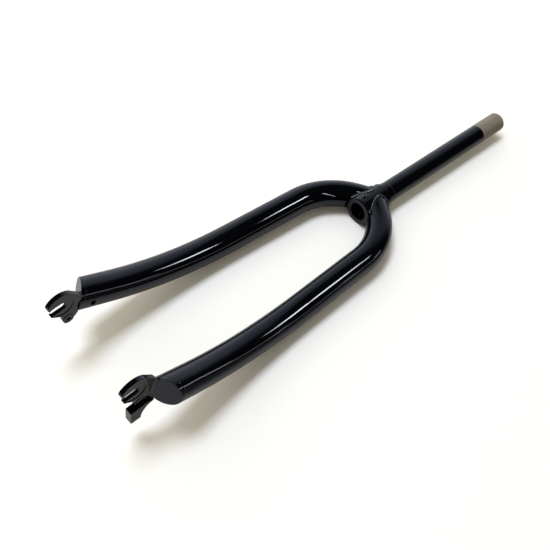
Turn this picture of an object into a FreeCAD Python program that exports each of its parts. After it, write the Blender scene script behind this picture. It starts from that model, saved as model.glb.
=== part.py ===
import FreeCAD, Part
import math
import os
import Sketcher

# Rigid bicycle fork lying on its back. Millimetres and degrees.
# The origin is on the steerer axis at the crown-race shoulder: +Y runs up the steerer,
# +X to the bicycle's left and +Z to its front, which is up from the floor as the fork lies.

SIZES = {
    # steerer with its thick crown base
    "steerer_diameter": 25.4,
    "steerer_bore": 22.2,
    "bore_chamfer": 0.8,
    "steerer_length": 236.0,
    "steerer_chamfer": 0.6,
    "race_seat_diameter": 26.4,
    "race_seat_height": 9.0,
    "crown_height": 44.5,
    "crown_top_diameter": 32.0,
    "crown_bottom_diameter": 36.0,
    "crown_chamfer": 1.0,
    "brake_hole_diameter": 6.5,
    "brake_hole_drop": 35.5,
    # blade tube and the line its axis follows
    "blade_diameter": 31.75,
    "blade_wall": 1.6,
    "blade_root": 3.2,
    "blade_cross_drop": 16.1,
    "crown_angle": 33.15,
    "blade_lead": 18.9,
    "crown_bend_radius": 86.3,
    "blade_straight": 100.5,
    "rake_radius": 432.0,
    "rake_angle": 22.0,
    "blade_end_length": 35.8,
    "blade_end_offset": 13.85,
    "vent_hole_diameter": 6.0,
    "vent_hole_offset": 6.6,
    # slanted cap, the upper leg of the dropout plate
    "cap_outward_angle": 31.5,
    "cap_forward_angle": 12.5,
    "plate_thickness": 5.0,
    "plate_bend_radius": 7.0,
    # axle slot and jaws, measured from the axle's centre
    "hub_spacing": 110.0,
    "axle_drop": 26.0,
    "axle_rise": 15.4,
    "slot_width": 10.0,
    "slot_angle": 8.0,
    "jaw_radius": 17.0,
    "jaw_tip_angle": 147.0,
    "front_tip_down": 14.9,
    "front_tip_front": 6.9,
    "front_lip_down": 13.6,
    "front_lip_front": 4.0,
    "rear_tip_down": 13.4,
    "rear_tip_back": 4.4,
    "rear_round_down": 12.4,
    "rear_round_back": 6.8,
    "rear_edge_down": 10.4,
    "rear_edge_back": 8.6,
    "notch_down": 2.4,
    "notch_back": 14.3,
    "neck_rise": 3.4,
    "neck_notch_up": 16.6,
    "neck_notch_back": 20.8,
    "recess_radius": 12.4,
    "recess_depth": 0.6,
    # eyelet
    "eyelet_up": 5.1,
    "eyelet_back": 23.4,
    "eyelet_radius": 6.0,
    "eyelet_hole": 5.0,
    "eyelet_proud": 0.5,
    # stop lug on the left dropout
    "lug_thickness": 8.3,
    "lug_down": 7.4,
    "lug_up": 3.7,
    "lug_top_back": 29.8,
    "lug_bottom_back": 48.3,
    "gusset_mid_up": 8.6,
    "gusset_mid_back": 35.4,
    "gusset_end_up": 18.8,
    "gusset_end_back": 30.2,
    "ridge_up": 10.6,
    "ridge_back": 26.8,
    "root_up": 18.6,
    "root_back": 20.3,
    # weld beads round the crown base, and the gap between them at its front and back
    "crown_weld_reach": 2.0,
    "crown_weld_gap": 7.2,
    # length by which cutting tools run past what they cut, and the span of the largest of them
    "overrun": 30.0,
    "tool_span": 250.0,
}

X_AXIS = FreeCAD.Vector(1, 0, 0)
Y_AXIS = FreeCAD.Vector(0, 1, 0)
Z_AXIS = FreeCAD.Vector(0, 0, 1)

doc = FreeCAD.newDocument("fork")
sheet = doc.addObject("Spreadsheet::Sheet", "Sizes")
for row, (alias, value) in enumerate(SIZES.items(), start=1):
    sheet.set("A%d" % row, alias)
    sheet.set("B%d" % row, str(value))
    sheet.setAlias("B%d" % row, alias)
doc.recompute()


def size(alias):
    """A length or angle, read from the sheet."""
    return float(sheet.get(alias))


def turned_to(direction):
    """The rotation that carries +Z onto a direction."""
    return FreeCAD.Rotation(Z_AXIS, direction)


def cylinder(name, radius, height, base, direction):
    """A cylinder with bound sizes, standing on a point along a direction."""
    solid = doc.addObject("Part::Cylinder", name)
    solid.setExpression("Radius", radius)
    solid.setExpression("Height", height)
    solid.Placement = FreeCAD.Placement(base, turned_to(direction))
    return solid


def box(name, length, width, height, placement):
    """A box with bound sizes, centred on its placement in X and Y and starting there in Z."""
    solid = doc.addObject("Part::Box", name)
    solid.setExpression("Length", length)
    solid.setExpression("Width", width)
    solid.setExpression("Height", height)
    doc.recompute()
    corner = FreeCAD.Vector(-solid.Length.Value / 2, -solid.Width.Value / 2, 0)
    solid.Placement = placement.multiply(FreeCAD.Placement(corner, FreeCAD.Rotation()))
    return solid


def combine(kind, name, shapes):
    """A fusion or a common of several objects."""
    result = doc.addObject(kind, name)
    result.Shapes = shapes
    result.Refine = True
    return result


def cut(name, base, tool):
    """One object cut away from another."""
    result = doc.addObject("Part::Cut", name)
    result.Base = base
    result.Tool = tool
    result.Refine = True
    return result


def mirrored(name, source):
    """The right-hand copy of a left-hand object."""
    copy = doc.addObject("Part::Mirroring", name)
    copy.Source = source
    copy.Base = FreeCAD.Vector(0, 0, 0)
    copy.Normal = X_AXIS
    return copy


def prism(name, edges, thickness):
    """A plate cut to a closed outline, growing outward along +X."""
    outline = doc.addObject("Part::Feature", name + "_outline")
    outline.Shape = Part.Wire(edges)
    plate = doc.addObject("Part::Extrusion", name)
    plate.Base = outline
    plate.DirMode = "Custom"
    plate.Dir = X_AXIS
    plate.Solid = True
    plate.setExpression("LengthFwd", thickness)
    return plate


def steerer_profile(body):
    """Half section of the steerer: radius along X, height along Y, each corner bound to the sheet."""
    corners = [
        ("Sizes.steerer_bore / 2", "-Sizes.crown_height + Sizes.bore_chamfer"),
        ("Sizes.steerer_bore / 2 + Sizes.bore_chamfer", "-Sizes.crown_height"),
        ("Sizes.crown_bottom_diameter / 2 - Sizes.crown_chamfer", "-Sizes.crown_height"),
        ("Sizes.crown_bottom_diameter / 2", "-Sizes.crown_height + Sizes.crown_chamfer"),
        ("Sizes.crown_top_diameter / 2", "-Sizes.crown_chamfer"),
        ("Sizes.crown_top_diameter / 2 - Sizes.crown_chamfer", "0"),
        ("Sizes.race_seat_diameter / 2", "0"),
        ("Sizes.race_seat_diameter / 2", "Sizes.race_seat_height"),
        ("Sizes.steerer_diameter / 2", "Sizes.race_seat_height + Sizes.steerer_chamfer"),
        ("Sizes.steerer_diameter / 2", "Sizes.steerer_length - Sizes.steerer_chamfer"),
        ("Sizes.steerer_diameter / 2 - Sizes.steerer_chamfer", "Sizes.steerer_length"),
        ("Sizes.steerer_bore / 2", "Sizes.steerer_length"),
    ]
    sketch = body.newObject("Sketcher::SketchObject", "SteererProfile")
    plane = [f for f in body.Origin.OriginFeatures if f.Role == "XY_Plane"][0]
    sketch.AttachmentSupport = [(plane, "")]
    sketch.MapMode = "FlatFace"
    count = len(corners)
    start_radius = size("steerer_length")
    turn = 2 * math.pi / count
    ring = []
    for i in range(count):
        ring.append(FreeCAD.Vector(math.cos(i * turn), math.sin(i * turn), 0) * start_radius)
    for i in range(count):
        sketch.addGeometry(Part.LineSegment(ring[i], ring[(i + 1) % count]))
    for i in range(count):
        sketch.addConstraint(Sketcher.Constraint("Coincident", i, 2, (i + 1) % count, 1))
    for i, (across, up) in enumerate(corners):
        radial = sketch.addConstraint(Sketcher.Constraint("DistanceX", -1, 1, i, 1, ring[i].x))
        sketch.setExpression("Constraints[%d]" % radial, across)
        if up == "0":
            sketch.addConstraint(Sketcher.Constraint("PointOnObject", i, 1, -1))
        else:
            height = sketch.addConstraint(Sketcher.Constraint("DistanceY", -1, 1, i, 1, ring[i].y))
            sketch.setExpression("Constraints[%d]" % height, up)
    return sketch


def steerer():
    """Tube, race seat and crown base in one turned piece, with the brake bolt's cross hole."""
    body = doc.addObject("PartDesign::Body", "SteererBody")
    sketch = steerer_profile(body)
    doc.recompute()
    turned = body.newObject("PartDesign::Revolution", "SteererTurned")
    turned.Profile = sketch
    turned.ReferenceAxis = (sketch, ["V_Axis"])
    turned.Angle = 360
    doc.recompute()
    drill = body.newObject("Sketcher::SketchObject", "BrakeHole")
    plane = [f for f in body.Origin.OriginFeatures if f.Role == "XY_Plane"][0]
    drill.AttachmentSupport = [(plane, "")]
    drill.MapMode = "FlatFace"
    centre = FreeCAD.Vector(0, -size("brake_hole_drop"), 0)
    hole = drill.addGeometry(Part.Circle(centre, Z_AXIS, size("brake_hole_diameter") / 2))
    drill.addConstraint(Sketcher.Constraint("PointOnObject", hole, 3, -2))
    drop = drill.addConstraint(Sketcher.Constraint("DistanceY", -1, 1, hole, 3, centre.y))
    drill.setExpression("Constraints[%d]" % drop, "-Sizes.brake_hole_drop")
    width = drill.addConstraint(Sketcher.Constraint("Diameter", hole, size("brake_hole_diameter")))
    drill.setExpression("Constraints[%d]" % width, "Sizes.brake_hole_diameter")
    doc.recompute()
    pocket = body.newObject("PartDesign::Pocket", "BrakeHolePocket")
    pocket.Profile = drill
    pocket.Midplane = True
    pocket.setExpression("Length", "2 * Sizes.crown_bottom_diameter")
    body.Tip = pocket
    body.Label = "steerer"
    return body


def inner_face():
    """Distance of a dropout's inner face from the middle: the hub sits on the floors of the recesses."""
    return size("hub_spacing") / 2 - size("recess_depth")


def blade_splay():
    """Angle by which the blade's lower part leans outward to end at its offset from the dropout."""
    fall = math.radians(size("crown_angle"))
    rake = math.radians(size("rake_angle"))
    bend = size("crown_bend_radius")
    raked_run = size("rake_radius") * math.sin(rake) + size("blade_end_length") * math.cos(rake)
    run = size("blade_straight") + raked_run
    end_x = inner_face() + size("blade_end_offset")
    # the bend and the run below it have to cover this distance between them
    cover = end_x - size("blade_lead") * math.cos(fall) + bend * math.sin(fall)
    return math.atan2(run, bend) - math.acos(cover / math.hypot(run, bend))


def blade_path():
    """Edges of the left blade's axis, then the points where it starts and ends, each with its direction."""
    fall = math.radians(size("crown_angle"))
    splay = blade_splay()
    rake = math.radians(size("rake_angle"))
    bend = size("crown_bend_radius")
    start = FreeCAD.Vector(0, -size("blade_cross_drop"), 0)
    out = FreeCAD.Vector(math.cos(fall), -math.sin(fall), 0)
    down = FreeCAD.Vector(math.sin(splay), -math.cos(splay), 0)
    lead_end = start + out * size("blade_lead")
    bend_centre = lead_end - FreeCAD.Vector(math.sin(fall), math.cos(fall), 0) * bend
    middle = (math.pi / 2 - fall + splay) / 2
    bend_middle = bend_centre + FreeCAD.Vector(math.cos(middle), math.sin(middle), 0) * bend
    bend_end = bend_centre + FreeCAD.Vector(math.cos(splay), math.sin(splay), 0) * bend
    straight_end = bend_end + down * size("blade_straight")

    def raked(angle):
        along = down * math.sin(angle)
        return straight_end + (along + Z_AXIS * (1 - math.cos(angle))) * size("rake_radius")

    rake_end = raked(rake)
    end_direction = down * math.cos(rake) + Z_AXIS * math.sin(rake)
    end = rake_end + end_direction * size("blade_end_length")
    past_end = end + end_direction * size("overrun")
    edges = [
        Part.LineSegment(start, lead_end).toShape(),
        Part.Arc(lead_end, bend_middle, bend_end).toShape(),
        Part.LineSegment(bend_end, straight_end).toShape(),
        Part.Arc(straight_end, raked(rake / 2), rake_end).toShape(),
        Part.LineSegment(rake_end, past_end).toShape(),
    ]
    return edges, (start, out), (end, end_direction)


def blade_foot():
    """End point of the left blade's axis and the direction in which it runs there."""
    return blade_path()[-1]


def blade_sweep(name, radius):
    """A round bar of bound radius along the blade's axis."""
    edges, (start, out), foot = blade_path()
    spine = doc.addObject("Part::Feature", name + "_axis")
    spine.Shape = Part.Wire(edges)
    section = doc.addObject("Part::Circle", name + "_section")
    section.setExpression("Radius", radius)
    section.Placement = FreeCAD.Placement(start, turned_to(out))
    doc.recompute()
    bar = doc.addObject("Part::Sweep", name)
    bar.Sections = [section]
    bar.Spine = (spine, ["Edge%d" % (i + 1) for i in range(len(edges))])
    bar.Solid = True
    bar.Frenet = False
    return bar


def cap_normal():
    """Outward normal of the blade's slanted foot."""
    outward = math.radians(size("cap_outward_angle"))
    forward = math.radians(size("cap_forward_angle"))
    across = math.cos(forward)
    return FreeCAD.Vector(across * math.sin(outward), -across * math.cos(outward), math.sin(forward))


def slanted_space(name, offset, depth):
    """A block lying on the cap's slant, from an offset along its normal and as deep as stated."""
    end, end_direction = blade_foot()
    normal = cap_normal()
    seat = FreeCAD.Placement(end + normal * offset, turned_to(normal))
    return box(name, "Sizes.tool_span", "Sizes.tool_span", depth, seat)


def crown_space(name, growth, depth):
    """The crown base without its chamfers, grown by a bound amount and running on below to a bound depth."""
    foot_radius = "Sizes.crown_bottom_diameter / 2 + " + growth
    top_radius = "Sizes.crown_top_diameter / 2 + " + growth
    foot = FreeCAD.Vector(0, size("crown_chamfer") - size("crown_height"), 0)
    top = FreeCAD.Vector(0, -size("crown_chamfer"), 0)
    cone = doc.addObject("Part::Cone", name + "Cone")
    cone.setExpression("Radius1", foot_radius)
    cone.setExpression("Radius2", top_radius)
    cone.setExpression("Height", "Sizes.crown_height - 2 * Sizes.crown_chamfer")
    cone.Placement = FreeCAD.Placement(foot, turned_to(Y_AXIS))
    below = cylinder(name + "Below", foot_radius, "Sizes.crown_chamfer + " + depth, foot, -Y_AXIS)
    above = cylinder(name + "Above", top_radius, "Sizes.crown_chamfer", top, Y_AXIS)
    return combine("Part::MultiFuse", name, [cone, below, above])


def left_blade():
    """Hollow bent tube, mitred and closed on the crown base and cut on a slant at the foot."""
    end, end_direction = blade_foot()
    bar = blade_sweep("BladeBar", "Sizes.blade_diameter / 2")
    bore = blade_sweep("BladeBore", "Sizes.blade_diameter / 2 - Sizes.blade_wall")
    root = crown_space("BladeRoot", "Sizes.blade_root", "Sizes.overrun")
    tube = cut("BladeTube", bar, cut("BladeHollow", bore, root))
    mitred = cut("BladeMitred", tube, crown_space("BladeMitre", "0", "Sizes.overrun"))
    beyond = slanted_space("BladeBeyond", -size("plate_thickness"), "Sizes.tool_span")
    slanted = cut("BladeSlanted", mitred, beyond)
    vent_centre = end - end_direction * size("vent_hole_offset")
    vent = cylinder(
        "BladeVentDrill",
        "Sizes.vent_hole_diameter / 2",
        "Sizes.blade_diameter",
        vent_centre,
        -X_AXIS,
    )
    blade = cut("LeftBlade", slanted, vent)
    blade.Label = "left_blade"
    return blade


def axle_point(down, front):
    """A point on the dropout's inner face, measured from the axle's centre."""
    end, end_direction = blade_foot()
    level = end.y - size("axle_drop")
    return FreeCAD.Vector(inner_face(), level - down, end.z + size("axle_rise") + front)


def rim_points():
    """Front and back points of the cap's rim, halfway through the lower leg's thickness."""
    end, end_direction = blade_foot()
    normal = cap_normal()
    along = X_AXIS.cross(normal)
    along.normalize()
    across = along.cross(normal)
    middle = inner_face() + size("plate_thickness") / 2
    base = across * ((middle - end.x) / across.x)
    # the rim is where the distance from the blade's axis equals the blade's radius
    base_off = base - end_direction * base.dot(end_direction)
    along_off = along - end_direction * along.dot(end_direction)
    square = along_off.dot(along_off)
    half = base_off.dot(along_off)
    rest = base_off.dot(base_off) - (size("blade_diameter") / 2) ** 2
    root = math.sqrt(half * half - square * rest)
    points = [end + base + along * ((-half + sign * root) / square) for sign in (-1, 1)]
    points.sort(key=lambda point: -point.z)
    return [FreeCAD.Vector(inner_face(), point.y, point.z) for point in points]


def line(first, second):
    return Part.LineSegment(first, second).toShape()


def arc(first, middle, last):
    return Part.Arc(first, middle, last).toShape()


def round_point(centre, radius, angle):
    """A point on a circle in the dropout's plane, the angle counted from up the fork to its front."""
    return centre + FreeCAD.Vector(0, math.cos(angle), math.sin(angle)) * radius


def tangent_angle(centre, radius, point, side):
    """Angle on a circle where a line from an outside point touches it."""
    reach = point - centre
    spread = math.acos(radius / math.hypot(reach.y, reach.z))
    return math.atan2(reach.z, reach.y) + side * spread


def plate_edges():
    """Outline of the dropout's lower leg, from the neck round both jaws and the eyelet."""
    axle = axle_point(0, 0)
    jaw = size("jaw_radius")
    rim_front, neck_back = rim_points()
    neck_front = rim_front + Z_AXIS * size("neck_rise")
    neck_notch = axle_point(-size("neck_notch_up"), -size("neck_notch_back"))
    touch = tangent_angle(axle, jaw, neck_front, 1)
    tip = math.radians(size("jaw_tip_angle"))
    jaw_start = round_point(axle, jaw, touch)
    jaw_middle = round_point(axle, jaw, (touch + tip) / 2)
    jaw_end = round_point(axle, jaw, tip)
    front_tip = axle_point(size("front_tip_down"), size("front_tip_front"))
    front_lip = axle_point(size("front_lip_down"), size("front_lip_front"))
    rear_tip = axle_point(size("rear_tip_down"), -size("rear_tip_back"))
    rear_round = axle_point(size("rear_round_down"), -size("rear_round_back"))
    rear_edge = axle_point(size("rear_edge_down"), -size("rear_edge_back"))
    notch = axle_point(size("notch_down"), -size("notch_back"))
    eyelet = axle_point(-size("eyelet_up"), -size("eyelet_back"))
    ring = size("eyelet_radius")
    left_touch = tangent_angle(eyelet, ring, notch, 1)
    right_touch = tangent_angle(eyelet, ring, neck_notch, -1) + 2 * math.pi
    ring_start = round_point(eyelet, ring, left_touch)
    ring_middle = round_point(eyelet, ring, (left_touch + right_touch) / 2)
    ring_end = round_point(eyelet, ring, right_touch)
    front_past = neck_front + (neck_front - jaw_start)
    back_past = neck_back + (neck_back - neck_notch)
    return [
        line(front_past, jaw_start),
        arc(jaw_start, jaw_middle, jaw_end),
        arc(jaw_end, front_tip, front_lip),
        line(front_lip, rear_tip),
        arc(rear_tip, rear_round, rear_edge),
        line(rear_edge, notch),
        line(notch, ring_start),
        arc(ring_start, ring_middle, ring_end),
        line(ring_end, neck_notch),
        line(neck_notch, back_past),
        line(back_past, front_past),
    ]


def lug_edges(with_root):
    """Outline of the stop lug, or with its root the outline of the gusset that carries it."""
    foot_down = axle_point(size("lug_down"), -size("lug_bottom_back"))
    foot_up = axle_point(-size("lug_up"), -size("lug_bottom_back"))
    gusset_middle = axle_point(-size("gusset_mid_up"), -size("gusset_mid_back"))
    gusset_end = axle_point(-size("gusset_end_up"), -size("gusset_end_back"))
    ridge = axle_point(-size("ridge_up"), -size("ridge_back"))
    top_down = axle_point(size("lug_down"), -size("lug_top_back"))
    top = [gusset_end, ridge, top_down]
    if with_root:
        root = axle_point(-size("root_up"), -size("root_back"))
        top.insert(1, root)
    edges = [
        line(top_down, foot_down),
        line(foot_down, foot_up),
        arc(foot_up, gusset_middle, gusset_end),
    ]
    for first, second in zip(top, top[1:]):
        edges.append(line(first, second))
    return edges


def slot_placement(lift):
    """Seat of a tool whose +Z runs outward and +X along the slot to its open end."""
    angle = math.radians(size("slot_angle"))
    opening = FreeCAD.Vector(0, -math.cos(angle), -math.sin(angle))
    turn = FreeCAD.Rotation(opening, X_AXIS.cross(opening), X_AXIS, "ZXY")
    return FreeCAD.Placement(axle_point(0, 0) + X_AXIS * lift, turn), opening


def slot_tools(name, half_width, lift, depth):
    """A round-ended slot, cut from a lift above the inner face and as deep as stated."""
    placement, opening = slot_placement(lift)
    end = cylinder(name + "_end", half_width, depth, placement.Base, X_AXIS)
    middle = FreeCAD.Placement(placement.Base + opening * size("overrun") / 2, placement.Rotation)
    run = box(name + "_run", "Sizes.overrun", "2 * " + half_width, depth, middle)
    return [end, run]


def recessed_leg(name):
    """Lower leg of the plate, thinned round the axle on both faces and with the eyelet's boss."""
    eyelet = axle_point(-size("eyelet_up"), -size("eyelet_back"))
    leg = prism(name + "Leg", plate_edges(), "Sizes.plate_thickness")
    boss = cylinder(
        name + "Boss",
        "Sizes.eyelet_radius",
        "Sizes.plate_thickness + 2 * Sizes.eyelet_proud",
        eyelet - X_AXIS * size("eyelet_proud"),
        X_AXIS,
    )
    thinned = leg
    for face, lift in (("In", 0), ("Out", size("plate_thickness") - size("recess_depth"))):
        floor = axle_point(0, 0) + X_AXIS * lift
        tool = cylinder(name + "Tool" + face, "Sizes.recess_radius", "Sizes.recess_depth", floor, X_AXIS)
        thinned = cut(name + "Thinned" + face, thinned, tool)
    return combine("Part::MultiFuse", name + "RecessedLeg", [thinned, boss])


def cap_bar(name, growth):
    """A round bar thicker than the blade by a bound growth, running on in line with its foot."""
    end, end_direction = blade_foot()
    behind = end - end_direction * (size("tool_span") / 2)
    radius = "Sizes.blade_diameter / 2 + " + growth
    return cylinder(name, radius, "Sizes.tool_span", behind, end_direction)


def cap(name):
    """Upper leg of the plate, flush with the blade's outside."""
    slab = slanted_space(name + "CapSlab", -size("plate_thickness"), "Sizes.plate_thickness")
    return combine("Part::MultiCommon", name + "Cap", [cap_bar(name + "CapBar", "0"), slab])


def bend_fill(name):
    """Metal inside the bend, with a round hollow that meets both legs of the plate smoothly."""
    end, end_direction = blade_foot()
    normal = cap_normal()
    along = X_AXIS.cross(normal)
    along.normalize()
    across = along.cross(normal)
    outer = inner_face() + size("plate_thickness")
    corner = end + across * ((outer - end.x) / across.x)
    centre = corner + (X_AXIS + normal) * (size("plate_bend_radius") / (1 + X_AXIS.dot(normal)))
    radius = size("plate_bend_radius")
    halfway = X_AXIS + normal
    halfway.normalize()
    on_leg = centre - X_AXIS * radius
    on_cap = centre - normal * radius
    outline = doc.addObject("Part::Feature", name + "FillOutline")
    hollow = arc(on_leg, centre - halfway * radius, on_cap)
    outline.Shape = Part.Wire([line(corner, on_leg), hollow, line(on_cap, corner)])
    fill = doc.addObject("Part::Extrusion", name + "Fill")
    fill.Base = outline
    fill.DirMode = "Custom"
    fill.Dir = along
    fill.Solid = True
    fill.Symmetric = True
    fill.setExpression("LengthFwd", "Sizes.tool_span")
    return fill


def dropout(name, with_lug):
    """One bent plate with the axle slot and eyelet hole, and on one side a stop lug on a gusset."""
    neck = prism(name + "Neck", plate_edges(), "Sizes.overrun")
    neck_bar = cap_bar(name + "NeckBar", "Sizes.neck_rise")
    bend_room = combine("Part::MultiCommon", name + "NeckRoom", [neck, neck_bar])
    legs = [recessed_leg(name)]
    if with_lug:
        legs.append(prism(name + "Gusset", lug_edges(True), "Sizes.plate_thickness"))
        legs.append(prism(name + "Lug", lug_edges(False), "Sizes.lug_thickness"))
        gusset = prism(name + "GussetRoom", lug_edges(True), "Sizes.overrun")
        bend_room = combine("Part::MultiFuse", name + "BendRoom", [bend_room, gusset])
    legs.append(combine("Part::MultiCommon", name + "Bend", [bend_fill(name), bend_room]))
    leg = combine("Part::MultiFuse", name + "Legs", legs)
    outside = slanted_space(name + "Outside", 0, "Sizes.tool_span")
    trimmed = combine("Part::MultiCommon", name + "TrimmedLeg", [leg, outside])
    solid = combine("Part::MultiFuse", name + "Plate", [trimmed, cap(name)])
    past = size("overrun")
    reach = "2 * Sizes.overrun"
    eyelet = axle_point(-size("eyelet_up"), -size("eyelet_back"))
    tools = slot_tools(name + "Slot", "Sizes.slot_width / 2", -past, reach)
    drill_start = eyelet - X_AXIS * past
    tools.append(cylinder(name + "Drill", "Sizes.eyelet_hole / 2", reach, drill_start, X_AXIS))
    return cut(name, solid, combine("Part::MultiFuse", name + "Tools", tools))


def crown_weld():
    """Bead between the left blade and the crown base."""
    grown_bar = blade_sweep("WeldBar", "Sizes.blade_diameter / 2 + Sizes.crown_weld_reach")
    deep = "Sizes.crown_weld_reach / 2"
    grown_crown = crown_space("WeldCrown", "Sizes.crown_weld_reach", deep)
    side = FreeCAD.Placement(X_AXIS * (size("crown_weld_gap") / 2), turned_to(X_AXIS))
    left_side = box("WeldSide", "Sizes.tool_span", "Sizes.tool_span", "Sizes.tool_span", side)
    collar = combine("Part::MultiCommon", "WeldCollar", [grown_bar, grown_crown, left_side])
    blade_bar = blade_sweep("WeldBladeBar", "Sizes.blade_diameter / 2")
    round_blade = cut("WeldRoundBlade", collar, blade_bar)
    weld = cut("LeftCrownWeld", round_blade, crown_space("WeldBase", "0", "Sizes.overrun"))
    weld.Label = "left_crown_weld"
    return weld


steerer_body = steerer()
blade_left = left_blade()
dropout_left = dropout("LeftDropout", True)
dropout_left.Label = "left_dropout"
dropout_plain = dropout("PlainDropout", False)
crown_weld_left = crown_weld()
doc.recompute()
blade_right = mirrored("RightBlade", blade_left)
blade_right.Label = "right_blade"
dropout_right = mirrored("RightDropout", dropout_plain)
dropout_right.Label = "right_dropout"
crown_weld_right = mirrored("RightCrownWeld", crown_weld_left)
crown_weld_right.Label = "right_crown_weld"
doc.recompute()

for item in doc.Objects:
    if "Invalid" in item.State or "Error" in item.State:
        raise RuntimeError("%s did not compute" % item.Name)

os.makedirs("parts", exist_ok=True)
nodes = [
    steerer_body,
    blade_left,
    blade_right,
    dropout_left,
    dropout_right,
    crown_weld_left,
    crown_weld_right,
]
for node in nodes:
    shape = node.Shape
    if shape.isNull() or not shape.isValid():
        raise RuntimeError("%s is not a valid solid" % node.Label)
    shape.exportStep("parts/%s.step" % node.Label)
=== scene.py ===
"""Looks and stage for a painted steel mountain bike fork that lies on its back on a pale floor."""

import math

import bpy
from bpy.props import FloatProperty, FloatVectorProperty, IntProperty, PointerProperty
from mathutils import Matrix, Vector


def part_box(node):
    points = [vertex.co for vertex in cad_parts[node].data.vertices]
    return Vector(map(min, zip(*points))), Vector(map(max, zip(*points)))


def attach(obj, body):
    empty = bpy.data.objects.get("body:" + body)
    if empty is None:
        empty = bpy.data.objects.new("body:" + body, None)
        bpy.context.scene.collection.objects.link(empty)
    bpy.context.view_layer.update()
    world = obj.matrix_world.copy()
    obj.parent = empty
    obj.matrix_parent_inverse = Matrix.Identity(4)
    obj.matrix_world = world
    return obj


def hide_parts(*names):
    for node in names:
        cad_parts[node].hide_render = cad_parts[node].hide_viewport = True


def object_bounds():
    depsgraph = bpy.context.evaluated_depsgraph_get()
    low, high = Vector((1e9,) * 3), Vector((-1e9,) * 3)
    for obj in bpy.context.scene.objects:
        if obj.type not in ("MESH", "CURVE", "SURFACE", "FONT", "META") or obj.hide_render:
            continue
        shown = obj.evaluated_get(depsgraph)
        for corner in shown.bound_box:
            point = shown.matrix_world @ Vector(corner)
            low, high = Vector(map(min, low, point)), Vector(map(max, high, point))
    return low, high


bl_info = {
    "name": "Mountain bike fork",
    "version": (1, 0, 0),
    "blender": (4, 5, 0),
    "location": "3D View > Sidebar > Fork",
    "description": "Gloss black paint, bare steerer end, weld beads and stage for a rigid fork",
    "category": "Object",
}

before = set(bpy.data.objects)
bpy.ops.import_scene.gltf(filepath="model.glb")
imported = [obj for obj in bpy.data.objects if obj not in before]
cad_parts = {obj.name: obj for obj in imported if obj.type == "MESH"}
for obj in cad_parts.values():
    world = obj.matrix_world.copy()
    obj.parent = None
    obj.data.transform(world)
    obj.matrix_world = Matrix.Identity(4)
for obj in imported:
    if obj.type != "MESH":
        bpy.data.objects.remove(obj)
CAD_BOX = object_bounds()

STEERER = "steerer"
PLAIN_PAINTED = ("left_blade", "right_blade", "left_dropout", "right_dropout")
WELDS = {"left_crown_weld": 1, "right_crown_weld": -1}
BEAD_ENDING = "_bead"

# crown base and blade as they meet, in metres and radians
CROWN_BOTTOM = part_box("steerer")[0][1]
CROWN_BOTTOM_RADIUS = 0.018
CROWN_TOP_RADIUS = 0.016
CROWN_CHAMFER = 0.001
BLADE_RADIUS = 0.015875
BLADE_START = Vector((0, -0.0161, 0))
BLADE_FALL = math.radians(33.15)
BLADE_LEAD = 0.0189
BLADE_BEND = 0.0863

STEERER_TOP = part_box("steerer")[1][1]
FLOOR_LEVEL = CAD_BOX[0][2]

# rings of a weld bead
BEAD_SIDES = 16
RIPPLE_SECTIONS = 8

# heights of lamps over the steerer's axis, in metres, and the ways that they face
CEILING = 2.5
RAIL = 1.0
DOWN = (0, 0, -1)
TO_FORK = (-0.79, -0.61, 0)


class PaintSettings(bpy.types.PropertyGroup):
    """Gloss black paint over the welded frame."""

    colour: FloatVectorProperty(
        name="Colour", description="Black of the paint",
        subtype="COLOR", size=3, min=0, max=1, default=(0.0010, 0.0011, 0.0016),
    )
    patch_colour: FloatVectorProperty(
        name="Patch colour", description="Black that the paint drifts to in soft patches",
        subtype="COLOR", size=3, min=0, max=1, default=(0.0018, 0.0020, 0.0028),
    )
    sheen: FloatVectorProperty(
        name="Sheen", description="Cold tint that the gloss gives to what it reflects",
        subtype="COLOR", size=3, min=0, max=1, default=(0.86, 0.91, 1.0),
    )
    roughness: FloatProperty(
        name="Roughness", description="Roughness of the gloss",
        subtype="FACTOR", min=0, max=1, default=0.04,
    )
    peel: FloatProperty(
        name="Orange peel", description="Height of the waves that the sprayed paint dried with",
        subtype="DISTANCE", unit="LENGTH", min=0, default=0.000012,
    )
    edge_radius: FloatProperty(
        name="Edge radius", description="Radius at which paint rounds a sharp edge",
        subtype="DISTANCE", unit="LENGTH", min=0, default=0.0006,
    )


class SteelSettings(bpy.types.PropertyGroup):
    """Bare steel at the steerer's end, which is left to be cut to length."""

    length: FloatProperty(
        name="Bare length", description="Length of the steerer that was masked from the paint",
        subtype="DISTANCE", unit="LENGTH", min=0, default=0.045,
    )
    colour: FloatVectorProperty(
        name="Colour", description="Dull steel",
        subtype="COLOR", size=3, min=0, max=1, default=(0.30, 0.27, 0.215),
    )
    dark_colour: FloatVectorProperty(
        name="Dark colour", description="Steel that has started to tarnish",
        subtype="COLOR", size=3, min=0, max=1, default=(0.21, 0.185, 0.14),
    )
    roughness: FloatProperty(
        name="Roughness", description="Roughness of the blasted steel",
        subtype="FACTOR", min=0, max=1, default=0.55,
    )


class WeldSettings(bpy.types.PropertyGroup):
    """Beads round the joints of the blades with the crown."""

    half_width: FloatProperty(
        name="Half width", description="Half the width of the weld bead",
        subtype="DISTANCE", unit="LENGTH", min=0.0005, default=0.0026,
    )
    height: FloatProperty(
        name="Height", description="Height of the bead over the seam",
        subtype="DISTANCE", unit="LENGTH", min=0.0002, default=0.0017,
    )
    ripple: FloatProperty(
        name="Ripple", description="Share of the bead's height that its ripples rise and fall by",
        subtype="FACTOR", min=0, max=1, default=0.45,
    )
    ripples: IntProperty(
        name="Ripples", description="Number of ripples round a joint", min=6, default=28,
    )


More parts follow.
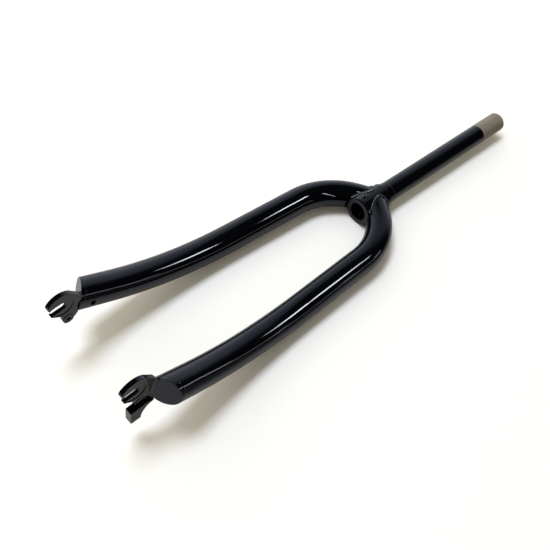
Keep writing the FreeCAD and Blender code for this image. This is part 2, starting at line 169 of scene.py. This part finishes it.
class StageSettings(bpy.types.PropertyGroup):
    """Floor, lamps and camera."""

    floor_colour: FloatVectorProperty(
        name="Floor", description="Pale floor that the fork lies on",
        subtype="COLOR", size=3, min=0, max=1, default=(0.98, 0.98, 0.98),
    )
    floor_in_gloss: FloatVectorProperty(
        name="Floor in the gloss", description="Floor as the paint reflects it",
        subtype="COLOR", size=3, min=0, max=1, default=(0.55, 0.55, 0.57),
    )
    # painted shade: a darker floor that only the gloss reflects, beyond the left blade, though the floor
    # itself goes on pale there
    floor_painted_dark_in_gloss: FloatVectorProperty(
        name="Floor's end in the gloss", description="Floor as the paint reflects it beyond the left blade",
        subtype="COLOR", size=3, min=0, max=1, default=(0.13, 0.13, 0.14),
    )
    camera_place: FloatVectorProperty(
        name="Camera place", description="Where the photograph was taken from",
        subtype="TRANSLATION", unit="LENGTH", size=3, default=(0.331444, -0.620478, 0.700172),
    )
    camera_turn: FloatVectorProperty(
        name="Camera turn", description="How the camera was turned",
        subtype="EULER", unit="ROTATION", size=3,
        default=(math.radians(36.7127), math.radians(-8.1868), math.radians(47.5073)),
    )
    camera_lens: FloatProperty(
        name="Lens", description="Focal length in millimetres on a frame 36 mm wide",
        min=1, default=52.1067,
    )
    key_power: FloatProperty(
        name="Key lamp", description="Power of the large soft lamp", unit="POWER", min=0, default=127,
    )
    key_colour: FloatVectorProperty(
        name="Key colour", description="Cool daylight of the large soft lamp",
        subtype="COLOR", size=3, min=0, max=1, default=(0.86, 0.91, 1.0),
    )
    strip_glow: FloatProperty(
        name="Strip lamps", description="Brightness of the strip lamps that show in the gloss",
        min=0, default=20,
    )
    backdrop_glow: FloatProperty(
        name="Backdrop", description="Brightness of the pale backdrop that the gloss reflects",
        min=0, default=1.15,
    )
    glint: FloatProperty(
        name="Glint", description="Brightness of the lamp over the welds, as a share of the strip lamps",
        min=0, default=1.5,
    )
    backdrop_colour: FloatVectorProperty(
        name="Backdrop colour", description="Cold white of the backdrop in the gloss",
        subtype="COLOR", size=3, min=0, max=1, default=(0.78, 0.85, 1.0),
    )
    fill_colour: FloatVectorProperty(
        name="Fill", description="Warm light from the room on the right of the fork",
        subtype="COLOR", size=3, min=0, max=1, default=(1.0, 0.92, 0.74),
    )


def add_node(tree, kind, **values):
    """A new node with the named inputs, or else the named attributes, set."""
    node = tree.nodes.new(kind)
    for name, value in values.items():
        label = name.replace("_", " ").title()
        if label in node.inputs:
            node.inputs[label].default_value = value
        else:
            setattr(node, name, value)
    return node


def opaque(colour):
    """Colour with full alpha, for a shader socket."""
    return (colour[0], colour[1], colour[2], 1)


def new_material(name):
    """An empty node material and its output node."""
    material = bpy.data.materials.new(name)
    material.use_nodes = True
    material.node_tree.nodes.clear()
    output = material.node_tree.nodes.new("ShaderNodeOutputMaterial")
    return material, output


def eased(tree, value, low, high, first, last, manner="SMOOTHSTEP"):
    """Socket that goes from first to last while value goes from low to high."""
    span = tree.nodes.new("ShaderNodeMapRange")
    span.interpolation_type = manner
    span.inputs["From Min"].default_value = low
    span.inputs["From Max"].default_value = high
    span.inputs["To Min"].default_value = first
    span.inputs["To Max"].default_value = last
    tree.links.new(value, span.inputs["Value"])
    return span.outputs["Result"]


def noise_at(tree, place, scale, detail):
    """Socket of soft random patches, from 0 to 1."""
    noise = add_node(tree, "ShaderNodeTexNoise", scale=scale, detail=detail)
    tree.links.new(place, noise.inputs["Vector"])
    return noise.outputs["Fac"]


def mixed(tree, share, first, second):
    """Shader socket that goes from the first shader to the second as the share goes from 0 to 1."""
    mix = tree.nodes.new("ShaderNodeMixShader")
    tree.links.new(share, mix.inputs["Fac"])
    tree.links.new(first, mix.inputs[1])
    tree.links.new(second, mix.inputs[2])
    return mix.outputs["Shader"]


def drifting_colour(tree, place, first, second, scale):
    """Colour socket that drifts between two colours in soft patches."""
    detail = 4
    ramp = tree.nodes.new("ShaderNodeValToRGB")
    ramp.color_ramp.elements[0].color = opaque(first)
    ramp.color_ramp.elements[1].color = opaque(second)
    tree.links.new(noise_at(tree, place, scale, detail), ramp.inputs["Fac"])
    return ramp.outputs["Color"]


def rounded_normal(tree, place, radius, scale, height):
    """Normal socket with edges rounded and fine waves over the surface."""
    samples = 6
    detail = 2
    bevel = add_node(tree, "ShaderNodeBevel", samples=samples, radius=radius)
    bump = add_node(tree, "ShaderNodeBump", strength=1, distance=height)
    tree.links.new(noise_at(tree, place, scale, detail), bump.inputs["Height"])
    tree.links.new(bevel.outputs["Normal"], bump.inputs["Normal"])
    return bump.outputs["Normal"]


def paint_shader(tree, place, paint):
    """Shader socket of the gloss black paint."""
    patch_scale = 30
    peel_scale = 260
    shader = add_node(
        tree, "ShaderNodeBsdfPrincipled",
        roughness=paint.roughness, specular_tint=opaque(paint.sheen),
    )
    colour = drifting_colour(tree, place, paint.colour, paint.patch_colour, patch_scale)
    normal = rounded_normal(tree, place, paint.edge_radius, peel_scale, paint.peel)
    tree.links.new(colour, shader.inputs["Base Color"])
    tree.links.new(normal, shader.inputs["Normal"])
    return shader.outputs["BSDF"]


def steel_shader(tree, place, steel, paint):
    """Shader socket of the dull bare steel."""
    patch_scale = 90
    grain_scale = 1400
    grain_height = 0.00002
    metallic = 0.35
    shader = add_node(
        tree, "ShaderNodeBsdfPrincipled", roughness=steel.roughness, metallic=metallic,
    )
    colour = drifting_colour(tree, place, steel.dark_colour, steel.colour, patch_scale)
    normal = rounded_normal(tree, place, paint.edge_radius, grain_scale, grain_height)
    tree.links.new(colour, shader.inputs["Base Color"])
    tree.links.new(normal, shader.inputs["Normal"])
    return shader.outputs["BSDF"]


def paint_material():
    """The paint, made once and shared."""
    name = "Gloss black paint"
    if name in bpy.data.materials:
        return bpy.data.materials[name]
    paint = bpy.context.scene.fork_paint
    material, output = new_material(name)
    tree = material.node_tree
    place = tree.nodes.new("ShaderNodeTexCoord").outputs["Object"]
    tree.links.new(paint_shader(tree, place, paint), output.inputs["Surface"])
    return material


def steerer_material():
    """Paint that stops at a masked edge, with bare steel above it."""
    wander = 0.0012
    edge_scale = 140
    edge_detail = 2
    edge_softness = 0.0006
    paint = bpy.context.scene.fork_paint
    steel = bpy.context.scene.fork_steel
    material, output = new_material("Painted steerer with bare end")
    tree = material.node_tree
    place = tree.nodes.new("ShaderNodeTexCoord").outputs["Object"]
    apart = tree.nodes.new("ShaderNodeSeparateXYZ")
    tree.links.new(place, apart.inputs["Vector"])
    moved = add_node(tree, "ShaderNodeMath", operation="MULTIPLY_ADD")
    tree.links.new(noise_at(tree, place, edge_scale, edge_detail), moved.inputs[0])
    moved.inputs[1].default_value = wander
    tree.links.new(apart.outputs["Y"], moved.inputs[2])
    edge = STEERER_TOP - steel.length + wander / 2
    bare_share = eased(tree, moved.outputs["Value"], edge - edge_softness, edge + edge_softness, 0, 1)
    painted = paint_shader(tree, place, paint)
    bare = steel_shader(tree, place, steel, paint)
    tree.links.new(mixed(tree, bare_share, painted, bare), output.inputs["Surface"])
    return material


def coat(node_name, material):
    """Puts the material in every slot of a CAD node."""
    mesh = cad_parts[node_name].data
    mesh.materials.clear()
    mesh.materials.append(material)


class FORK_OT_paint_blades(bpy.types.Operator):
    """Paint the blades and the dropouts"""

    bl_idname = "fork.paint_blades"
    bl_label = "Paint blades and dropouts"

    def execute(self, context):
        for name in PLAIN_PAINTED:
            coat(name, paint_material())
        return {"FINISHED"}


class FORK_OT_paint_steerer(bpy.types.Operator):
    """Paint the steerer up to its bare end"""

    bl_idname = "fork.paint_steerer"
    bl_label = "Paint steerer"

    def execute(self, context):
        coat(STEERER, steerer_material())
        return {"FINISHED"}


def blade_skin(along, around):
    """Point on the left blade's skin near the crown and the outward normal there."""
    turn = BLADE_FALL + max(0, along - BLADE_LEAD) / BLADE_BEND
    out = Vector((math.cos(BLADE_FALL), -math.sin(BLADE_FALL), 0))
    up = Vector((math.sin(BLADE_FALL), math.cos(BLADE_FALL), 0))
    turned_up = Vector((math.sin(turn), math.cos(turn), 0))
    axis = BLADE_START + out * min(along, BLADE_LEAD) + (turned_up - up) * BLADE_BEND
    normal = turned_up * math.cos(around) + Vector((0, 0, math.sin(around)))
    return axis + normal * BLADE_RADIUS, normal


def outside_crown(point):
    """How far a point is outside the crown base's tapered side."""
    low = CROWN_BOTTOM + CROWN_CHAMFER
    share = (point.y - low) / (-CROWN_CHAMFER - low)
    radius = CROWN_BOTTOM_RADIUS + (CROWN_TOP_RADIUS - CROWN_BOTTOM_RADIUS) * share
    return math.hypot(point.x, point.z) - radius


def halved(low, high, is_low):
    """Value between two others, found by halving, at which a test stops being true."""
    steps = 40
    for _ in range(steps):
        middle = (low + high) / 2
        if is_low(middle):
            low = middle
        else:
            high = middle
    return low


def seam_point(around):
    """Point where the blade's skin meets the crown base, and the direction out of the corner there."""
    reach = 2 * BLADE_LEAD
    along = halved(0, reach, lambda value: outside_crown(blade_skin(value, around)[0]) < 0)
    point, normal = blade_skin(along, around)
    crown_normal = Vector((point.x, 0, point.z)).normalized()
    return point, (normal + crown_normal).normalized()


def seam(count):
    """Evenly spaced points of the seam, from its foot at the back over the top to its foot at the front."""
    fine_per_point = 8
    fine = fine_per_point * count
    foot = CROWN_BOTTOM + CROWN_CHAMFER
    end = halved(math.pi / 2, math.pi, lambda value: seam_point(value)[0].y > foot)
    dense = [seam_point(end * (2 * i / fine - 1)) for i in range(fine + 1)]
    lengths = [0]
    for first, second in zip(dense, dense[1:]):
        lengths.append(lengths[-1] + (second[0] - first[0]).length)
    chosen = []
    at = 0
    for i in range(count + 1):
        goal = lengths[-1] * i / count
        while at < fine and lengths[at] < goal:
            at += 1
        chosen.append(dense[at])
    return chosen


def bead_points(path, sign, weld):
    """Rings of points along the seam, which swell and shrink with the ripples."""
    end_taper = 0.35
    count = len(path) - 1
    points = []
    for i, (place, out) in enumerate(path):
        before = path[max(0, i - 1)][0]
        after = path[min(count, i + 1)][0]
        along = (after - before).normalized()
        out = (out - along * out.dot(along)).normalized()
        side = along.cross(out)
        wave = math.sin(math.pi * (i % RIPPLE_SECTIONS) / RIPPLE_SECTIONS)
        from_end = min(i, count - i) / RIPPLE_SECTIONS
        grown = (1 - weld.ripple * (1 - wave)) * min(1, end_taper + (1 - end_taper) * from_end)
        for j in range(BEAD_SIDES):
            angle = 2 * math.pi * j / BEAD_SIDES
            ring = out * (math.cos(angle) * weld.height) + side * (math.sin(angle) * weld.half_width)
            point = place + ring * grown
            points.append((sign * point.x, point.y, point.z))
    return points


def bead_faces(count, sign):
    """Faces from ring to ring and over both ends of a bead, turned round for the mirror image."""
    faces = []
    for i in range(count):
        low = i * BEAD_SIDES
        high = low + BEAD_SIDES
        for j in range(BEAD_SIDES):
            right = (j + 1) % BEAD_SIDES
            faces.append((low + j, low + right, high + right, high + j))
    faces.append(tuple(reversed(range(BEAD_SIDES))))
    faces.append(tuple(count * BEAD_SIDES + j for j in range(BEAD_SIDES)))
    if sign < 0:
        faces = [tuple(reversed(face)) for face in faces]
    return faces


def bead_mesh(name, sign, weld):
    """Rippled bead along the seam of the left blade, or with sign -1 its mirror image."""
    count = weld.ripples * RIPPLE_SECTIONS
    mesh = bpy.data.meshes.new(name)
    mesh.from_pydata(bead_points(seam(count), sign, weld), [], bead_faces(count, sign))
    mesh.polygons.foreach_set("use_smooth", [True] * len(mesh.polygons))
    return mesh


class FORK_OT_lay_welds(bpy.types.Operator):
    """Lay the rippled weld beads between the blades and the crown and paint them"""

    bl_idname = "fork.lay_welds"
    bl_label = "Lay crown welds"

    def execute(self, context):
        for node_name, sign in WELDS.items():
            name = node_name + BEAD_ENDING
            mesh = bead_mesh(name, sign, context.scene.fork_weld)
            mesh.materials.append(paint_material())
            bead = bpy.data.objects.new(name, mesh)
            context.collection.objects.link(bead)
            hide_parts(node_name)
            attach(bead, "root")
        return {"FINISHED"}


def floor_fade(tree):
    """Socket that is 0 round the fork and 1 where the floor has passed into the white backdrop."""
    fade_start = 0.7
    fade_end = 1.6
    ground = tree.nodes.new("ShaderNodeNewGeometry")
    reach = add_node(tree, "ShaderNodeVectorMath", operation="LENGTH")
    tree.links.new(ground.outputs["Position"], reach.inputs[0])
    return eased(tree, reach.outputs["Value"], fade_start, fade_end, 0, 1)


def painted_shade_reach(tree):
    """Mask of painted shade in the floor's reflection: 1 on the right of the fork and under it, and 0 well
    beyond its left side, where the gloss sees a darker floor.
    """
    near_edge = 0.02
    far_edge = 0.14
    blade_side = 0.075
    crown_start = -0.05
    crown_end = 0.06
    ground = tree.nodes.new("ShaderNodeNewGeometry")
    apart = tree.nodes.new("ShaderNodeSeparateXYZ")
    tree.links.new(ground.outputs["Position"], apart.inputs["Vector"])
    left_side = eased(tree, apart.outputs["Y"], crown_start, crown_end, blade_side, 0)
    beyond = add_node(tree, "ShaderNodeMath", operation="SUBTRACT")
    tree.links.new(apart.outputs["X"], beyond.inputs[0])
    tree.links.new(left_side, beyond.inputs[1])
    return eased(tree, beyond.outputs["Value"], near_edge, far_edge, 1, 0)


def floor_material(stage):
    """White to the camera, with the shadow kept, and greyer in reflections, with painted shade that makes
    the reflected floor darker beyond the fork's left side.
    """
    material, output = new_material("Pale floor")
    tree = material.node_tree
    ray = tree.nodes.new("ShaderNodeLightPath")
    shown = add_node(tree, "ShaderNodeBsdfDiffuse", color=opaque(stage.floor_colour))
    dim = add_node(tree, "ShaderNodeBsdfDiffuse", color=opaque(stage.floor_in_gloss))
    # painted shade: the darker floor that the gloss reflects beyond the left blade
    dark = add_node(tree, "ShaderNodeBsdfDiffuse", color=opaque(stage.floor_painted_dark_in_gloss))
    white = add_node(tree, "ShaderNodeEmission", strength=1)
    to_camera = mixed(tree, floor_fade(tree), shown.outputs["BSDF"], white.outputs["Emission"])
    # painted shade: the gloss sees the darker floor beyond the fork's left side
    in_gloss = mixed(tree, painted_shade_reach(tree), dark.outputs["BSDF"], dim.outputs["BSDF"])
    surface = mixed(tree, ray.outputs["Is Camera Ray"], in_gloss, to_camera)
    tree.links.new(surface, output.inputs["Surface"])
    return material


def add_floor(stage):
    """Pale floor, lit white, that keeps the shadow and passes into the backdrop far from the fork."""
    half = 4
    mesh = bpy.data.meshes.new("Floor")
    corners = [(-half, -half), (half, -half), (half, half), (-half, half)]
    mesh.from_pydata([(x, y, FLOOR_LEVEL) for x, y in corners], [], [(0, 1, 2, 3)])
    mesh.materials.append(floor_material(stage))
    floor = bpy.data.objects.new("Floor", mesh)
    bpy.context.collection.objects.link(floor)


def add_lamp(name, place, facing, along, width, length, power):
    """Area lamp that faces one direction, with its length along another."""
    data = bpy.data.lights.new(name, "AREA")
    data.shape = "RECTANGLE"
    data.size = length
    data.size_y = width
    data.energy = power
    back = -Vector(facing).normalized()
    along = Vector(along)
    side = (along - back * along.dot(back)).normalized()
    turn = Matrix((side, back.cross(side), back)).transposed()
    lamp = bpy.data.objects.new(name, data)
    lamp.matrix_world = Matrix.Translation(Vector(place)) @ turn.to_4x4()
    lamp.visible_camera = False
    bpy.context.collection.objects.link(lamp)
    return lamp


def add_reflection(stage, name, first, last, width, facing, share):
    """Lamp from one point to another that only the gloss shows, as a share of the strip lamps' glow."""
    first = Vector(first)
    last = Vector(last)
    along = last - first
    power = stage.strip_glow * share * math.pi * along.length * width
    lamp = add_lamp(name, (first + last) / 2, facing, along, width, along.length, power)
    lamp.visible_diffuse = False
    return lamp


def show_only_on(name, objects, lamps):
    """Links lamps to some objects, so that no other object shows them."""
    receivers = bpy.data.collections.new(name)
    for item in objects:
        receivers.objects.link(item)
    for lamp in lamps:
        lamp.light_linking.receiver_collection = receivers


def add_rail_lamps(stage):
    """A bright lamp and a weaker one, end to end on a rail beyond the left blade."""
    first = (0.60, 0.50, RAIL)
    middle = (0.72, 0.75, RAIL)
    last = (0.80, 0.92, RAIL)
    width = 0.15
    bright_share = 1.2
    weak_share = 0.5
    add_reflection(stage, "Lamp over blades", first, middle, width, DOWN, bright_share)
    add_reflection(stage, "Lamp behind it", middle, last, width, DOWN, weak_share)


def add_ceiling_panel(stage):
    """A small panel high over the crown."""
    first = (0.02, 0, CEILING)
    last = (0.14, 0, CEILING)
    width = 0.12
    share = 1.0
    add_reflection(stage, "Panel overhead", first, last, width, DOWN, share)


def add_crown_row(stage):
    """A narrow row that leads away from the crown on the left."""
    first = (0.88, 0.10, RAIL)
    last = (3.1, -1.1, RAIL)
    width = 0.06
    share = 0.6
    add_reflection(stage, "Row beside crown", first, last, width, DOWN, share)


def add_upright_strip(stage):
    """A weak upright strip, far off on the left beyond the steerer."""
    foot = (2.36, 1.65, 0.35)
    top = (2.36, 1.65, 0.85)
    width = 0.10
    share = 0.06
    add_reflection(stage, "Upright strip", foot, top, width, TO_FORK, share)


def add_low_row(stage):
    """Low lamps, far off beyond the steerer, that only the blades and dropouts show as a fine line."""
    height = 0.58
    first = (1.66, 2.30, height)
    middle = (2.06, 1.97, height)
    last = (4.76, 2.66, height)
    width = 0.12
    lamp_share = 0.21
    row_share = 0.15
    lamp = add_reflection(stage, "Low lamp", first, middle, width, TO_FORK, lamp_share)
    row = add_reflection(stage, "Low row", middle, last, width, TO_FORK, row_share)
    painted = [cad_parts[node_name] for node_name in PLAIN_PAINTED]
    show_only_on("Blades and dropouts", painted, [lamp, row])


def add_glint(stage):
    """A wide lamp overhead that only the weld beads show, as a sparkle on their ripples."""
    first = (-2.2, -0.2, CEILING)
    last = (-0.9, -0.2, CEILING)
    width = 1.2
    lamp = add_reflection(stage, "Glint on welds", first, last, width, DOWN, stage.glint)
    beads = [bpy.data.objects[node_name + BEAD_ENDING] for node_name in WELDS]
    show_only_on("Weld beads", beads, [lamp])


def add_key(stage):
    """A large soft lamp, high on the right of the fork, that the gloss doesn't show."""
    place = (-1.3, -0.6, 4)
    along_fork = (0, 1, 0)
    width = 1.25
    length = 2.2
    lamp = add_lamp("Key", place, DOWN, along_fork, width, length, stage.key_power)
    lamp.data.color = stage.key_colour
    lamp.visible_glossy = False


def add_world(stage):
    """White to the camera, warm fill to the floor, and a pale backdrop in the gloss."""
    world = bpy.data.worlds.new("Studio")
    bpy.context.scene.world = world
    world.use_nodes = True
    tree = world.node_tree
    tree.nodes.clear()
    output = tree.nodes.new("ShaderNodeOutputWorld")
    ray = tree.nodes.new("ShaderNodeLightPath")
    white = add_node(tree, "ShaderNodeBackground", color=opaque((1, 1, 1)))
    fill = add_node(tree, "ShaderNodeBackground", color=opaque(stage.fill_colour))
    tree.links.new(fill_strength(tree), fill.inputs["Strength"])
    gloss = add_node(tree, "ShaderNodeBackground", color=opaque(stage.backdrop_colour))
    tree.links.new(backdrop_strength(tree, stage), gloss.inputs["Strength"])
    light = mixed(
        tree, ray.outputs["Is Glossy Ray"], fill.outputs["Background"], gloss.outputs["Background"],
    )
    surface = mixed(tree, ray.outputs["Is Camera Ray"], light, white.outputs["Background"])
    tree.links.new(surface, output.inputs["Surface"])


def toward(tree, direction, side):
    """Socket of how far a direction points to a side, from -1 to 1."""
    facing = add_node(tree, "ShaderNodeVectorMath", operation="DOT_PRODUCT")
    facing.inputs[1].default_value = side
    tree.links.new(direction, facing.inputs[0])
    return facing.outputs["Value"]


def fill_strength(tree):
    """Socket of the fill's brightness by direction: strong on the right of the fork and weak on its left."""
    fill_side = (-1, 0, 0)
    side_full = 0.9
    least = 0.36
    most = 1.5
    direction = tree.nodes.new("ShaderNodeTexCoord").outputs["Generated"]
    return eased(tree, toward(tree, direction, fill_side), 0, side_full, least, most)


def backdrop_strength(tree, stage):
    """Socket of the brightness by direction: a pale backdrop on the right, up to a height where it ends."""
    backdrop_side = (-0.87, 0.5, 0)
    side_start = 0.16
    side_full = 0.62
    room_glow = 0.012
    fade_to_top = 0.08
    edge_low = 0.72
    edge_high = 0.81
    direction = tree.nodes.new("ShaderNodeTexCoord").outputs["Generated"]
    apart = tree.nodes.new("ShaderNodeSeparateXYZ")
    tree.links.new(direction, apart.inputs["Vector"])
    facing = toward(tree, direction, backdrop_side)
    level = eased(tree, facing, side_start, side_full, 0, stage.backdrop_glow)
    fade = eased(tree, apart.outputs["Z"], 0, 1, 1, fade_to_top, "LINEAR")
    edge = eased(tree, apart.outputs["Z"], edge_low, edge_high, 1, 0)
    for factor in (fade, edge):
        product = add_node(tree, "ShaderNodeMath", operation="MULTIPLY")
        tree.links.new(level, product.inputs[0])
        tree.links.new(factor, product.inputs[1])
        level = product.outputs["Value"]
    total = add_node(tree, "ShaderNodeMath", operation="ADD")
    tree.links.new(level, total.inputs[0])
    total.inputs[1].default_value = room_glow
    return total.outputs["Value"]


def add_camera(stage):
    """Camera at the photograph's angle."""
    frame_width = 36
    nearest = 0.01
    data = bpy.data.cameras.new("Camera")
    data.sensor_width = frame_width
    data.lens = stage.camera_lens
    data.clip_start = nearest
    camera = bpy.data.objects.new("Camera", data)
    camera.location = stage.camera_place
    camera.rotation_euler = stage.camera_turn
    bpy.context.collection.objects.link(camera)
    bpy.context.scene.camera = camera


class FORK_OT_set_stage(bpy.types.Operator):
    """Set the floor, the lamps and the camera"""

    bl_idname = "fork.set_stage"
    bl_label = "Set stage"

    def execute(self, context):
        stage = context.scene.fork_stage
        add_floor(stage)
        add_key(stage)
        add_rail_lamps(stage)
        add_ceiling_panel(stage)
        add_crown_row(stage)
        add_upright_strip(stage)
        add_low_row(stage)
        add_glint(stage)
        add_world(stage)
        add_camera(stage)
        context.scene.view_settings.view_transform = "Standard"
        return {"FINISHED"}


class FORK_PT_panel(bpy.types.Panel):
    """Lists the steps that dress the fork and its stage"""

    bl_idname = "FORK_PT_panel"
    bl_label = "Mountain bike fork"
    bl_space_type = "VIEW_3D"
    bl_region_type = "UI"
    bl_category = "Fork"

    def draw(self, context):
        unlisted = ("rna_type", "name")
        for operator in OPERATORS:
            self.layout.operator(operator.bl_idname)
        for name in SETTINGS:
            group = getattr(context.scene, name)
            for key in group.bl_rna.properties.keys():
                if key not in unlisted:
                    self.layout.prop(group, key)


OPERATORS = (
    FORK_OT_paint_blades, FORK_OT_paint_steerer, FORK_OT_lay_welds, FORK_OT_set_stage,
)
SETTINGS = {
    "fork_paint": PaintSettings,
    "fork_steel": SteelSettings,
    "fork_weld": WeldSettings,
    "fork_stage": StageSettings,
}


def register():
    """Makes the settings, the operators and the panel known to Blender."""
    for name, group in SETTINGS.items():
        bpy.utils.register_class(group)
        setattr(bpy.types.Scene, name, PointerProperty(type=group))
    for operator in OPERATORS:
        bpy.utils.register_class(operator)
    bpy.utils.register_class(FORK_PT_panel)


def unregister():
    """Takes back what register does."""
    bpy.utils.unregister_class(FORK_PT_panel)
    for operator in reversed(OPERATORS):
        bpy.utils.unregister_class(operator)
    for name, group in reversed(SETTINGS.items()):
        delattr(bpy.types.Scene, name)
        bpy.utils.unregister_class(group)


def main():
    register()
    bpy.ops.fork.paint_blades()
    bpy.ops.fork.paint_steerer()
    bpy.ops.fork.lay_welds()
    bpy.ops.fork.set_stage()


if __name__ == "__main__":
    main()
